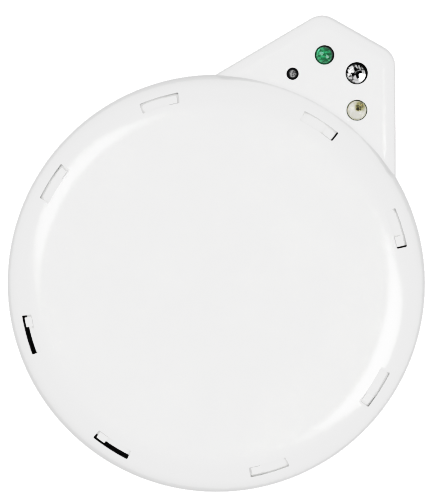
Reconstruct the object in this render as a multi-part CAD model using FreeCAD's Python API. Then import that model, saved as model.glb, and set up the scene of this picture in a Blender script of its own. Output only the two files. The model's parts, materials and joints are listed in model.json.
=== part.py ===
import FreeCAD, Part
import math
import os

os.makedirs("parts", exist_ok=True)

# A round ceiling light sensor with a side lobe, in millimetres.
# The origin is the centre of the ceiling face, +Z points out of the front face, +Y points along the lobe.

# Driving dimensions: disc and shell
disc_radius = 57.0
edge_roll_radius = 11.5
shell_wall = 1.6
edge_wall = 1.0
ceiling_gap = 0.6

# Driving dimensions: lobe
lobe_projection = 21.55
flank_inset = 7.8
flank_angle = 60.0
lobe_step = 7.5
lobe_corner_radius = 6.0
lobe_edge_radius = 4.0
valley_radius = 2.0
lobe_cover_thickness = 2.0
lobe_cover_clearance = 0.2
lobe_root_inset = 25.0

# Driving dimensions: windows in the rolled edge, all spans and gaps in degrees
window_outer_inset = 4.1
window_width = 2.9
window_quarters = 4
window_pair_angle = 66.7
window_pair_half_angle = 20.5
clear_gap_quarter = 0
clear_gap_angle = 0.5
clear_pair_half_angle = 19.7
open_quarter = 2
open_pair_half_angle = 21.2
open_pair_lag_angle = 0.9

# Driving dimensions: twist lock
twist_angle = 8.0
finger_wall = 1.7
finger_tuck = 0.2
finger_overrun_angle = 0.4
finger_clearance = 0.2
lug_gap_angle = 0.75
lug_angle = 2.85
lug_end_angle = 0.3
lug_projection = 0.6
lug_recess = 0.25
lug_inner_clearance = 0.15
shelf_thickness = 2.0
shelf_clearance = 0.6
tab_angle = 4.0
tab_depth = 2.4
tab_thickness = 2.2
tab_clearance = 0.3
tab_lead_angle = 0.4
stop_angle = 1.5
stop_gap_angle = 0.3

# Driving dimensions: mounting plate
plate_thickness = 2.2
spigot_clearance = 0.1
cable_hole_radius = 11.1
cable_collar_wall = 1.6
cable_collar_height = 1.4
box_screw_spacing = 88.9
small_box_screw_spacing = 69.85
screw_slot_half_width = 2.3
screw_slot_length = 8.0

# Driving dimensions: inner cover and boards
inner_cover_wall = 1.5
inner_cover_clearance = 0.8
board_thickness = 1.6
upper_component_room = 9.4
lower_component_room = 4.9
main_board_clearance = 0.9
head_board_clearance = 0.8
main_boss_circle_radius = 34.0
main_boss_radius = 3.5
main_boss_first_angle = 90.0
main_boss_count = 3
post_radius = 1.8
clamp_row_offset = 5.0
clamp_flank_gap = 0.75

# Driving dimensions: lobe elements on four corners of a hexagon
element_hexagon_side = 10.0
element_hexagon_offset = 3.0
hexagon_corner_angle = 60.0
button_radius = 1.6
button_guide_clearance = 0.1
button_recess = 0.3
button_travel = 0.3
button_top_radius = 1.1
button_rest_gap = 0.05
button_guide_wall = 1.0
button_guide_gap = 0.3
switch_side = 6.0
switch_height = 3.5
switch_well_depth = 2.0
dome_height = 0.35
dome_inset = 0.1
led_radius = 2.5
led_length = 8.6
led_rise = 1.5
led_flange_radius = 2.9
led_flange_height = 1.0
led_hole_clearance = 0.15
cell_lens_radius = 2.65
cell_lens_rise = 1.1
cell_hole_clearance = 0.2
cell_frame_height = 4.6
die_side = 1.3
die_height = 0.4
lead_side = 0.5
lead_spacing = 2.54
lead_tail = 1.5
lead_hole_clearance = 0.2

# Driving dimensions: screws
lobe_screw_head_radius = 2.8
lobe_screw_head_height = 2.2
lobe_screw_head_crown = 0.35
lobe_screw_shank_radius = 1.45
lobe_screw_end_gap = 0.525
lobe_screw_head_clearance = 0.25
screw_sleeve_wall = 1.4
cover_screw_head_radius = 2.6
cover_screw_head_height = 1.6
cover_screw_shank_radius = 1.2
cover_screw_length = 12.0
screw_hole_clearance = 0.3
cross_slot_width = 0.8
cross_slot_length = 3.2
cross_slot_depth = 1.3
lobe_cross_angle = 47.0

# Driving dimensions: ribbon and its sockets
ribbon_angle = 104.0
ribbon_width = 5.0
ribbon_thickness = 0.3
ribbon_outer_reach = 3.0
ribbon_inner_reach = 14.5
ribbon_bend_run = 8.0
ribbon_bend_end_inset = 3.5
ribbon_slot_margin = 0.8
socket_depth = 3.5
socket_height = 2.0
socket_side_margin = 1.2

# Driving dimensions: parts on the main board
terminal_poles = 4
terminal_pitch = 5.08
terminal_depth = 8.0
terminal_height = 10.0
terminal_gap = 2.2
terminal_row_distance = 28.0
terminal_entry_radius = 1.6
terminal_screw_radius = 1.7
terminal_screw_sink = 0.4
terminal_screw_clearance = 0.1
terminal_screw_offset = 1.5
terminal_well_depth = 2.5
terminal_entry_depth = 2.0
terminal_entry_lift = 0.8
terminal_groove_width = 0.6
terminal_groove_depth = 0.4
terminal_opening_margin = 0.6
capacitor_radius = 4.0
capacitor_height = 7.0
capacitor_places = ((-14.0, 6.0), (-14.0, -5.0))
inductor_side = 7.3
inductor_height = 4.0
inductor_place = (2.0, -12.0)
controller_side = 7.0
controller_height = 1.0
controller_place = (6.0, 4.0)
amplifier_length = 5.0
amplifier_width = 4.0
amplifier_height = 1.5
amplifier_place = (18.0, 10.0)
regulator_length = 6.5
regulator_width = 3.5
regulator_height = 1.6
regulator_place = (14.0, -10.0)
crystal_length = 5.0
crystal_width = 3.2
crystal_height = 1.1
crystal_place = (6.0, 13.0)
chip_length = 2.0
chip_width = 1.25
chip_height = 0.6
chip_count = 8
chip_circle_radius = 22.0
chip_first_angle = 100.0
chip_sweep_angle = 160.0

# Shared small values: how deep a rib is rooted in its wall, and how far a cutting tool passes a face
root_depth = 0.5
cut_margin = 1.0
same_place = 0.01

# Heights and radii that follow from the dimensions above
window_span = lug_gap_angle + lug_angle + twist_angle + lug_end_angle
terminal_low = plate_thickness + terminal_gap
main_board_height = terminal_low + terminal_height
main_board_top = main_board_height + board_thickness
shell_inner_height = main_board_top + upper_component_room
overall_height = shell_inner_height + shell_wall
lobe_face_height = overall_height - lobe_step
lobe_reach = disc_radius + lobe_projection
flank_distance = disc_radius - flank_inset
lobe_root_distance = disc_radius - lobe_root_inset
element_hexagon_centre = disc_radius + element_hexagon_offset
window_outer_radius = disc_radius - window_outer_inset
window_inner_radius = window_outer_radius - window_width
roll_centre_radius = disc_radius - edge_roll_radius
roll_centre_height = overall_height - edge_roll_radius
valley_circle_radius = roll_centre_radius + math.sqrt(
    edge_roll_radius ** 2 - (lobe_face_height - roll_centre_height) ** 2
)
inner_roll_radius = edge_roll_radius - edge_wall
skirt_inner_radius = disc_radius - shell_wall
spigot_radius = skirt_inner_radius - spigot_clearance
finger_inner_radius = window_inner_radius - finger_tuck
finger_outer_radius = finger_inner_radius + finger_wall
lobe_inner_height = lobe_face_height - shell_wall
shelf_outer_radius = skirt_inner_radius - shelf_clearance
shelf_roll_radius = inner_roll_radius - finger_clearance
head_board_top = lobe_face_height + led_rise - led_length
head_board_height = head_board_top - board_thickness
inner_cover_radius = finger_inner_radius - inner_cover_clearance
inner_cover_inside_radius = inner_cover_radius - inner_cover_wall
inner_cover_floor_top = main_board_height - lower_component_room
inner_cover_floor_height = inner_cover_floor_top - inner_cover_wall
main_board_radius = inner_cover_inside_radius - main_board_clearance
ribbon_inner_radius = disc_radius - ribbon_inner_reach
ribbon_outer_radius = disc_radius + ribbon_outer_reach
ribbon_bend_end_radius = disc_radius - ribbon_bend_end_inset
ribbon_bend_start_radius = ribbon_bend_end_radius - ribbon_bend_run
ribbon_inner_height = main_board_height - socket_height / 2
ribbon_outer_height = head_board_height - socket_height / 2
button_hole_radius = button_radius + button_guide_clearance
led_hole_radius = led_radius + led_hole_clearance
cell_hole_radius = cell_lens_radius + cell_hole_clearance
lobe_screw_seat_height = lobe_face_height - lobe_screw_head_height - lobe_screw_head_crown / 2
lobe_screw_sink_radius = lobe_screw_head_radius + lobe_screw_head_clearance
screw_sleeve_radius = lobe_screw_sink_radius + screw_sleeve_wall
lobe_cover_top = ceiling_gap + lobe_cover_thickness
lobe_screw_length = lobe_screw_seat_height - lobe_cover_top - lobe_screw_end_gap

up = FreeCAD.Vector(0, 0, 1)


def point(x, y, z=0.0):
    return FreeCAD.Vector(x, y, z)


def polar(radius, angle, z=0.0):
    turn = math.radians(angle)
    return point(radius * math.cos(turn), radius * math.sin(turn), z)


def cylinder(radius, low, high, x=0.0, y=0.0):
    return Part.makeCylinder(radius, high - low, point(x, y, low), up)


def tube(outer, inner, low, high, x=0.0, y=0.0):
    return cylinder(outer, low, high, x, y).cut(cylinder(inner, low, high, x, y))


def block(length, width, low, high, x=0.0, y=0.0):
    corner = point(x - length / 2, y - width / 2, low)
    return Part.makeBox(length, width, high - low, corner)


def turned(shape, angle):
    copy = shape.copy()
    copy.rotate(point(0, 0), up, angle)
    return copy


def prism(corners, low, high):
    wire = Part.makePolygon(corners + [corners[0]])
    face = Part.Face(wire)
    face.translate(point(0, 0, low))
    return face.extrude(point(0, 0, high - low))


def revolved(edges, start_angle=0.0, span=360.0):
    face = Part.Face(Part.Wire(edges))
    solid = face.revolve(point(0, 0), up, span)
    return turned(solid, start_angle)


def line(start, end):
    return Part.LineSegment(start, end).toShape()


# Points on the rolled edge, by their angle from straight up or by their radius
def roll_point(arc_radius, angle):
    turn = math.radians(angle)
    radius = roll_centre_radius + arc_radius * math.sin(turn)
    return point(radius, 0, roll_centre_height + arc_radius * math.cos(turn))


def roll_angle(arc_radius, radius):
    return math.degrees(math.asin((radius - roll_centre_radius) / arc_radius))


def roll_height(arc_radius, radius):
    return roll_point(arc_radius, roll_angle(arc_radius, radius)).z


def roll_arc(arc_radius, first_angle, last_angle):
    middle_angle = (first_angle + last_angle) / 2
    first = roll_point(arc_radius, first_angle)
    middle = roll_point(arc_radius, middle_angle)
    last = roll_point(arc_radius, last_angle)
    return Part.Arc(first, middle, last).toShape()


# An upright blade of a ring: flat sides, a flat foot and a top that follows the rolled edge
def ring_blade(inner, outer, low, arc_radius, start, span):
    outer_angle = roll_angle(arc_radius, outer)
    inner_angle = roll_angle(arc_radius, inner)
    edges = [
        line(point(inner, 0, low), point(outer, 0, low)),
        line(point(outer, 0, low), roll_point(arc_radius, outer_angle)),
        roll_arc(arc_radius, outer_angle, inner_angle),
        line(roll_point(arc_radius, inner_angle), point(inner, 0, low)),
    ]
    return revolved(edges, start, span)


def slot(length, half_width, low, high, x=0.0, y=0.0):
    straight = length - 2 * half_width
    body = block(straight, 2 * half_width, low, high, x, y)
    first_end = cylinder(half_width, low, high, x - straight / 2, y)
    second_end = cylinder(half_width, low, high, x + straight / 2, y)
    return body.fuse([first_end, second_end]).removeSplitter()


def save(name, shape):
    clean = shape.removeSplitter() if len(shape.Solids) == 1 else shape
    clean.exportStep("parts/" + name + ".step")


# The middle of a quarter's pair of windows, and the angle from there to each of them
# The two pairs that show their slits are spaced differently, so the head fits in one place only
def window_pair(quarter):
    middle = window_pair_angle + quarter * 360.0 / window_quarters
    if quarter == clear_gap_quarter:
        return middle, clear_pair_half_angle
    if quarter == open_quarter:
        return middle - open_pair_lag_angle, open_pair_half_angle
    return middle, window_pair_half_angle


# Where the windows start, at their clockwise ends, with the quarter that each one is in
def window_starts():
    starts = []
    for quarter in range(window_quarters):
        middle, half_angle = window_pair(quarter)
        for side in (-1, 1):
            starts.append((middle + side * half_angle - window_span / 2, quarter))
    return starts


# Where the elements of the lobe stand
element_half_side = element_hexagon_side / 2
element_row_step = element_hexagon_side * math.sin(math.radians(hexagon_corner_angle))
element_outer_row = element_hexagon_centre + element_row_step
button_place = (-element_hexagon_side, element_hexagon_centre)
led_place = (-element_half_side, element_outer_row)
lobe_screw_place = (element_half_side, element_outer_row)
cell_place = (element_hexagon_side, element_hexagon_centre)


# The disc: a solid of the given skirt radius, roll radius and heights
def disc_solid(radius, roll_radius, low):
    edges = [
        line(point(0, 0, low), point(radius, 0, low)),
        line(point(radius, 0, low), point(radius, 0, roll_centre_height)),
        roll_arc(roll_radius, 90.0, 0.0),
        line(
            point(roll_centre_radius, 0, roll_centre_height + roll_radius),
            point(0, 0, roll_centre_height + roll_radius),
        ),
        line(point(0, 0, roll_centre_height + roll_radius), point(0, 0, low)),
    ]
    return revolved(edges)


# The lobe's outline is three sides of a hexagon, closed inside the disc
def lobe_outline(flank, reach, root):
    slope = math.radians(flank_angle)
    tip_x = (flank - reach * math.cos(slope)) / math.sin(slope)
    root_x = (flank - root * math.cos(slope)) / math.sin(slope)
    return [
        point(-root_x, root),
        point(root_x, root),
        point(tip_x, reach),
        point(-tip_x, reach),
    ]


def is_tip_corner(edge, reach):
    first, last = edge.Vertexes[0].Point, edge.Vertexes[-1].Point
    upright = abs(first.z - last.z) > same_place
    return upright and abs(first.y - reach) < same_place


def is_outer_top_edge(edge, top, root):
    centre = edge.CenterOfMass
    return abs(centre.z - top) < same_place and centre.y > root + same_place


def lobe_solid(inset, low, high, edge_radius):
    root = lobe_root_distance
    reach = lobe_reach - inset
    solid = prism(lobe_outline(flank_distance - inset, reach, root), low, high)
    corners = [e for e in solid.Edges if is_tip_corner(e, reach)]
    solid = solid.makeFillet(lobe_corner_radius - inset, corners)
    if edge_radius:
        tops = [e for e in solid.Edges if is_outer_top_edge(e, high, root)]
        solid = solid.makeFillet(edge_radius, tops)
    return solid


# The valley where the lobe's face meets the rolled edge is blended
def is_valley_edge(edge):
    ends = [v.Point for v in edge.Vertexes]
    level = all(abs(p.z - lobe_face_height) < same_place for p in ends)
    on_circle = all(abs(math.hypot(p.x, p.y) - valley_circle_radius) < same_place for p in ends)
    return level and on_circle


def front_outside():
    disc = disc_solid(disc_radius, edge_roll_radius, ceiling_gap)
    lobe = lobe_solid(0.0, ceiling_gap, lobe_face_height, lobe_edge_radius)
    whole = disc.fuse(lobe).removeSplitter()
    valley = [e for e in whole.Edges if is_valley_edge(e)]
    return whole.makeFillet(valley_radius, valley)


# The rolled edge is thinner than the rest of the shell, so that the fingers stand close under the windows
def front_hollow():
    rolled = disc_solid(disc_radius - edge_wall, inner_roll_radius, 0.0)
    disc = rolled.common(cylinder(skirt_inner_radius, 0.0, shell_inner_height))
    lobe = lobe_solid(shell_wall, 0.0, lobe_inner_height, lobe_edge_radius - shell_wall)
    beyond_skirt = lobe.cut(cylinder(disc_radius, 0.0, overall_height))
    return disc.fuse(beyond_skirt)


def window_cut(start):
    low = roll_centre_height + tab_depth
    ring = [
        line(point(window_inner_radius, 0, low), point(window_outer_radius, 0, low)),
        line(point(window_outer_radius, 0, low), point(window_outer_radius, 0, overall_height)),
        line(
            point(window_outer_radius, 0, overall_height),
            point(window_inner_radius, 0, overall_height),
        ),
        line(point(window_inner_radius, 0, overall_height), point(window_inner_radius, 0, low)),
    ]
    return revolved(ring, start, window_span)


shelf_low = roll_height(shelf_roll_radius, shelf_outer_radius) - shelf_thickness
tab_top = shelf_low - tab_clearance
tab_start_angle = lug_gap_angle + tab_lead_angle


# The tabs inside the skirt that hook behind the plate's shelves
def lock_tab(start):
    inner = skirt_inner_radius - tab_depth
    outer = skirt_inner_radius + shell_wall / 2
    low = tab_top - tab_thickness
    ring = tube(outer, inner, low, tab_top)
    return sector(ring, start + tab_start_angle, tab_angle)


def sector(ring, start, span):
    far = 2 * disc_radius
    middle = start + span / 2
    half_turn = math.radians(span / 2)
    half_width = far * math.tan(half_turn)
    wedge = prism([point(0, 0), point(far, -half_width), point(far, half_width)], 0.0, overall_height)
    return ring.common(turned(wedge, middle))


def boss_places():
    step = 360.0 / main_boss_count
    return [polar(main_boss_circle_radius, main_boss_first_angle + step * i) for i in range(main_boss_count)]


def ribbon_block(length_from, length_to, width, low, high):
    middle = (length_from + length_to) / 2
    strip = block(length_to - length_from, width, low, high, middle, 0.0)
    return turned(strip, ribbon_angle)


# Clamp pins on both sides of the lobe hold the head board down on the lobe cover's posts
clamp_row = element_hexagon_centre + clamp_row_offset
clamp_flank_distance = flank_distance - shell_wall - clamp_flank_gap - post_radius
clamp_slope = math.radians(flank_angle)
clamp_half_spacing = (clamp_flank_distance - clamp_row * math.cos(clamp_slope)) / math.sin(clamp_slope)
clamp_places = [(-clamp_half_spacing, clamp_row), (clamp_half_spacing, clamp_row)]


def disc_bosses():
    top = shell_inner_height + root_depth
    return [cylinder(main_boss_radius, main_board_top, top, p.x, p.y) for p in boss_places()]


def boss_pilots():
    top = shell_inner_height
    return [cylinder(cover_screw_shank_radius, main_board_top, top, p.x, p.y) for p in boss_places()]


def lobe_ribs():
    top = lobe_inner_height + root_depth
    ribs = [cylinder(post_radius, head_board_top, top, x, y) for x, y in clamp_places]
    ribs.append(cylinder(screw_sleeve_radius, head_board_top, top, *lobe_screw_place))
    guide_low = head_board_top + switch_height + button_guide_gap
    ribs.append(cylinder(button_hole_radius + button_guide_wall, guide_low, top, *button_place))
    return ribs


def element_holes():
    screw_hole = lobe_screw_shank_radius + screw_hole_clearance
    return [
        cylinder(button_hole_radius, 0.0, overall_height, *button_place),
        cylinder(led_hole_radius, 0.0, overall_height, *led_place),
        cylinder(cell_hole_radius, 0.0, overall_height, *cell_place),
        cylinder(screw_hole, 0.0, overall_height, *lobe_screw_place),
        cylinder(lobe_screw_sink_radius, lobe_screw_seat_height, overall_height, *lobe_screw_place),
    ]


# The ribbon passes from the disc into the lobe through a slot in the skirt
def ribbon_doorway():
    margin = ribbon_slot_margin
    near = skirt_inner_radius - cut_margin
    far = disc_radius + cut_margin
    width = ribbon_width + 2 * margin
    return ribbon_block(near, far, width, ribbon_outer_height - margin, ribbon_outer_height + margin)


def front_housing():
    additions = [lock_tab(start) for start, quarter in window_starts() if quarter != open_quarter]
    additions += disc_bosses() + lobe_ribs()
    solid = front_outside().cut(front_hollow()).fuse(additions)
    cuts = [window_cut(start) for start, quarter in window_starts()]
    cuts += boss_pilots() + element_holes()
    cuts.append(ribbon_doorway())
    return solid.cut(cuts)


# The plate screwed to the ceiling box, with eight fingers that rise under the windows
# One pair of windows shows a slit before its lug, and the open pair has no shelf behind it
def finger(start, quarter):
    gap = clear_gap_angle if quarter == clear_gap_quarter else 0.0
    last = start + window_span + finger_overrun_angle
    low = plate_thickness / 2
    first = start + gap
    wall = ring_blade(finger_inner_radius, finger_outer_radius, low, shelf_roll_radius, first, last - first)
    pieces = [wall, lug(start + lug_gap_angle)]
    if quarter != open_quarter:
        pieces.append(shelf(first, last - first))
        pieces.append(stop_rib(start))
    return pieces


def shelf(first, span):
    inner = finger_inner_radius + finger_wall / 2
    return ring_blade(inner, shelf_outer_radius, shelf_low, shelf_roll_radius, first, span)


def lug(first):
    inner = window_inner_radius + lug_inner_clearance
    outer = finger_outer_radius + lug_projection
    return ring_blade(inner, outer, shelf_low, edge_roll_radius - lug_recess, first, lug_angle)


def stop_rib(start):
    low = tab_top - tab_thickness
    ring = tube(shelf_outer_radius, finger_outer_radius - root_depth, low, shelf_low + root_depth)
    return sector(ring, start + tab_start_angle + tab_angle + stop_gap_angle, stop_angle)


def screw_slot(x):
    top = plate_thickness + cut_margin
    return slot(screw_slot_length, screw_slot_half_width, -cut_margin, top, x)


def mounting_plate():
    solid = cylinder(spigot_radius, 0.0, plate_thickness)
    collar_top = plate_thickness + cable_collar_height
    additions = [cylinder(cable_hole_radius + cable_collar_wall, 0.0, collar_top)]
    for start, quarter in window_starts():
        additions.extend(finger(start, quarter))
    solid = solid.fuse(additions)
    cuts = [cylinder(cable_hole_radius, -cut_margin, collar_top + cut_margin)]
    for side in (-1, 1):
        cuts.append(screw_slot(side * box_screw_spacing / 2))
        cuts.append(turned(screw_slot(side * small_box_screw_spacing / 2), 90.0))
    return solid.cut(cuts)


# The inner cover closes the disc's electronics from behind
terminal_length = terminal_poles * terminal_pitch


def terminal_opening():
    margin = terminal_opening_margin
    length = terminal_length + 2 * margin
    width = terminal_depth + 2 * margin
    low = inner_cover_floor_height - cut_margin
    high = inner_cover_floor_top + cut_margin
    return block(length, width, low, high, 0.0, -terminal_row_distance)


def cover_screw_holes():
    hole = cover_screw_shank_radius + screw_hole_clearance
    sink = cover_screw_head_radius + screw_hole_clearance
    seat = inner_cover_floor_height + cover_screw_head_height
    holes = []
    for p in boss_places():
        holes.append(cylinder(hole, 0.0, main_board_height, p.x, p.y))
        holes.append(cylinder(sink, 0.0, seat, p.x, p.y))
    return holes


def inner_cover():
    top = min(roll_height(inner_roll_radius, inner_cover_radius), shell_inner_height) - tab_clearance
    shell = cylinder(inner_cover_radius, inner_cover_floor_height, top)
    shell = shell.cut(cylinder(inner_cover_inside_radius, inner_cover_floor_top, top))
    post_low = inner_cover_floor_top - root_depth
    posts = [cylinder(main_boss_radius, post_low, main_board_height, p.x, p.y) for p in boss_places()]
    near = inner_cover_inside_radius - cut_margin
    far = inner_cover_radius + cut_margin
    width = ribbon_width + 2 * ribbon_slot_margin
    notch = ribbon_block(near, far, width, inner_cover_floor_top, top + cut_margin)
    return shell.fuse(posts).cut([terminal_opening(), notch] + cover_screw_holes())


# The lobe cover closes the lobe from behind and carries the head board
def lobe_cover():
    inset = shell_wall + lobe_cover_clearance
    solid = lobe_solid(inset, ceiling_gap, lobe_cover_top, 0.0)
    solid = solid.cut(cylinder(disc_radius + lobe_cover_clearance, 0.0, overall_height))
    post_low = lobe_cover_top - root_depth
    posts = [cylinder(post_radius, post_low, head_board_height, x, y) for x, y in clamp_places]
    posts.append(cylinder(screw_sleeve_radius, post_low, head_board_height, *lobe_screw_place))
    pilot = cylinder(lobe_screw_shank_radius, lobe_cover_top, head_board_height, *lobe_screw_place)
    return solid.fuse(posts).cut(pilot)


def main_board():
    solid = cylinder(main_board_radius, main_board_height, main_board_top)
    hole = cover_screw_shank_radius + screw_hole_clearance
    holes = [cylinder(hole, 0.0, overall_height, p.x, p.y) for p in boss_places()]
    return solid.cut(holes)


def head_board():
    inset = shell_wall + head_board_clearance
    solid = lobe_solid(inset, head_board_height, head_board_top, 0.0)
    solid = solid.cut(cylinder(disc_radius + head_board_clearance, 0.0, overall_height))
    hole = lobe_screw_shank_radius + screw_hole_clearance
    holes = [cylinder(hole, 0.0, overall_height, *lobe_screw_place)]
    for place in (led_place, cell_place):
        holes.extend(lead_pair(place, lead_side + lead_hole_clearance, 0.0, overall_height))
    return solid.cut(holes)


def lead_pair(place, side, low, high):
    x, y = place
    return [block(side, side, low, high, x + sign * lead_spacing / 2, y) for sign in (-1, 1)]


# The push button, its switch and the snap dome that returns it
def config_button():
    well_floor = head_board_top + switch_height - switch_well_depth
    low = well_floor + dome_height + button_travel + button_rest_gap
    high = lobe_face_height - button_recess
    x, y = button_place
    chamfer = button_radius - button_top_radius
    stem = cylinder(button_radius, low, high - chamfer, x, y)
    cap = Part.makeCone(button_radius, button_top_radius, chamfer, point(x, y, high - chamfer), up)
    return stem.fuse(cap)


def button_switch():
    x, y = button_place
    top = head_board_top + switch_height
    body = block(switch_side, switch_side, head_board_top, top, x, y)
    well = cylinder(button_hole_radius, top - switch_well_depth, top, x, y)
    return body.cut(well)


def button_dome():
    x, y = button_place
    low = head_board_top + switch_height - switch_well_depth
    rim = button_radius - dome_inset
    sphere_radius = (rim ** 2 + dome_height ** 2) / (2 * dome_height)
    centre = point(x, y, low + dome_height - sphere_radius)
    ball = Part.makeSphere(sphere_radius, centre)
    return ball.common(cylinder(rim, low, low + dome_height, x, y))


# A round-nosed lamp body standing on the head board
def dome_body(radius, low, high, place):
    x, y = place
    body = cylinder(radius, low, high - radius, x, y)
    nose = Part.makeSphere(radius, point(x, y, high - radius))
    upper = nose.common(cylinder(radius, high - radius, high, x, y))
    return body.fuse(upper)


def status_led():
    low = head_board_top
    body = dome_body(led_radius, low, low + led_length, led_place)
    flange = cylinder(led_flange_radius, low, low + led_flange_height, *led_place)
    return body.fuse(flange)


def light_cell_frame():
    x, y = cell_place
    return cylinder(cell_lens_radius, head_board_top, head_board_top + cell_frame_height, x, y)


cell_lens_low = head_board_top + cell_frame_height
cell_lens_high = lobe_face_height + cell_lens_rise


def light_cell_lens():
    body = dome_body(cell_lens_radius, cell_lens_low, cell_lens_high, cell_place)
    return body.cut(light_cell_die())


def light_cell_die():
    x, y = cell_place
    return block(die_side, die_side, cell_lens_low, cell_lens_low + die_height, x, y)


def leads(place):
    pair = lead_pair(place, lead_side, head_board_height - lead_tail, head_board_top)
    return Part.makeCompound(pair)


# Screws
def cross_slots(x, y, low, high, turn):
    cuts = []
    for quarter in (0.0, 90.0):
        bar = block(cross_slot_length, cross_slot_width, low, high)
        bar.rotate(point(0, 0), up, turn + quarter)
        bar.translate(point(x, y, 0))
        cuts.append(bar)
    return cuts


def lobe_screw():
    x, y = lobe_screw_place
    seat = lobe_screw_seat_height
    rim = seat + lobe_screw_head_height - lobe_screw_head_crown
    head = cylinder(lobe_screw_head_radius, seat, rim, x, y)
    sphere_radius = (lobe_screw_head_radius ** 2 + lobe_screw_head_crown ** 2) / (2 * lobe_screw_head_crown)
    crown_top = rim + lobe_screw_head_crown
    ball = Part.makeSphere(sphere_radius, point(x, y, crown_top - sphere_radius))
    crown = ball.common(cylinder(lobe_screw_head_radius, rim, crown_top, x, y))
    shank = cylinder(lobe_screw_shank_radius, seat - lobe_screw_length, seat, x, y)
    solid = head.fuse([crown, shank])
    slot_floor = crown_top - cross_slot_depth
    return solid.cut(cross_slots(x, y, slot_floor, crown_top + cut_margin, lobe_cross_angle))


def cover_screws():
    screws = []
    for p in boss_places():
        seat = inner_cover_floor_height + cover_screw_head_height
        low = inner_cover_floor_height
        head = cylinder(cover_screw_head_radius, low, seat, p.x, p.y)
        shank = cylinder(cover_screw_shank_radius, seat, seat + cover_screw_length, p.x, p.y)
        screw = head.fuse(shank)
        slot_top = low + cover_screw_head_height / 2
        screws.append(screw.cut(cross_slots(p.x, p.y, low - cut_margin, slot_top, 0.0)))
    return Part.makeCompound(screws)


# The ribbon that joins the two boards bends down from one to the other through two equal arcs
def ribbon_bend(offset):
    run = ribbon_bend_end_radius - ribbon_bend_start_radius
    drop = ribbon_inner_height - ribbon_outer_height
    bend_radius = (run ** 2 + drop ** 2) / (4 * drop)
    half_turn = math.atan2(drop, run)
    upper, lower = bend_radius + offset, bend_radius - offset
    start = point(ribbon_bend_start_radius, 0, ribbon_inner_height + offset)
    finish = point(ribbon_bend_end_radius, 0, ribbon_outer_height + offset)
    first_way = point(math.sin(half_turn), 0, math.cos(half_turn) - 1)
    turn_way = point(math.sin(2 * half_turn), 0, math.cos(2 * half_turn) - 1)
    middle = start + turn_way * upper
    second_way = point(-math.sin(half_turn), 0, 1 - math.cos(half_turn))
    return [
        Part.Arc(start, start + first_way * upper, middle).toShape(),
        Part.Arc(middle, finish + second_way * lower, finish).toShape(),
    ]


def link_ribbon():
    half = ribbon_thickness / 2
    upper_start = point(ribbon_inner_radius, 0, ribbon_inner_height + half)
    upper_bend_start = point(ribbon_bend_start_radius, 0, ribbon_inner_height + half)
    upper_bend_end = point(ribbon_bend_end_radius, 0, ribbon_outer_height + half)
    upper_end = point(ribbon_outer_radius, 0, ribbon_outer_height + half)
    down = point(0, 0, -ribbon_thickness)
    edges = [line(upper_start, upper_bend_start)] + ribbon_bend(half) + [line(upper_bend_end, upper_end)]
    edges += [line(upper_end, upper_end + down), line(upper_end + down, upper_bend_end + down)]
    edges += list(reversed(ribbon_bend(-half)))
    edges += [line(upper_bend_start + down, upper_start + down), line(upper_start + down, upper_start)]
    face = Part.Face(Part.Wire(Part.__sortEdges__(edges)))
    strip = face.extrude(point(0, ribbon_width, 0))
    strip.translate(point(0, -ribbon_width / 2, 0))
    return turned(strip, ribbon_angle)


def ribbon_socket(near, far, board_underside):
    width = ribbon_width + 2 * socket_side_margin
    body = ribbon_block(near, far, width, board_underside - socket_height, board_underside)
    return body.cut(link_ribbon())


def head_ribbon_socket():
    near = ribbon_outer_radius - socket_depth / 2
    return ribbon_socket(near, near + socket_depth, head_board_height)


def main_ribbon_socket():
    far = ribbon_inner_radius + socket_depth / 2
    return ribbon_socket(far - socket_depth, far, main_board_height)


# The terminal block hangs under the main board and takes the cable's wires
def terminal_centres():
    first = -(terminal_poles - 1) * terminal_pitch / 2
    return [first + i * terminal_pitch for i in range(terminal_poles)]


terminal_screw_row = -terminal_row_distance - terminal_screw_offset


def terminal_block():
    middle = -terminal_row_distance
    solid = block(terminal_length, terminal_depth, terminal_low, main_board_height, 0.0, middle)
    cuts = []
    mouth = middle + terminal_depth / 2
    entry_height = terminal_low + terminal_entry_radius + terminal_entry_lift
    well = terminal_screw_radius + terminal_screw_clearance
    for x in terminal_centres():
        start = point(x, mouth - terminal_entry_depth, entry_height)
        reach = terminal_entry_depth + cut_margin
        cuts.append(Part.makeCylinder(terminal_entry_radius, reach, start, point(0, 1, 0)))
        cuts.append(cylinder(well, terminal_low, terminal_low + terminal_well_depth, x, terminal_screw_row))
    return solid.cut(cuts)


def terminal_screws():
    screws = []
    low = terminal_low + terminal_screw_sink
    high = terminal_low + terminal_well_depth
    for x in terminal_centres():
        screw = cylinder(terminal_screw_radius, low, high, x, terminal_screw_row)
        groove_top = low + terminal_groove_depth
        length = 2 * terminal_screw_radius
        groove = block(length, terminal_groove_width, low - cut_margin, groove_top, x, terminal_screw_row)
        screws.append(screw.cut(groove))
    return Part.makeCompound(screws)


# Parts on the upper side of the main board
def on_board(length, width, height, place):
    x, y = place
    return block(length, width, main_board_top, main_board_top + height, x, y)


def storage_capacitors():
    top = main_board_top + capacitor_height
    cans = [cylinder(capacitor_radius, main_board_top, top, x, y) for x, y in capacitor_places]
    return Part.makeCompound(cans)


def chip_resistors():
    chips = []
    for index in range(chip_count):
        spot = polar(chip_circle_radius, chip_first_angle + index * chip_sweep_angle / chip_count)
        chips.append(on_board(chip_length, chip_width, chip_height, (spot.x, spot.y)))
    return Part.makeCompound(chips)


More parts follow.
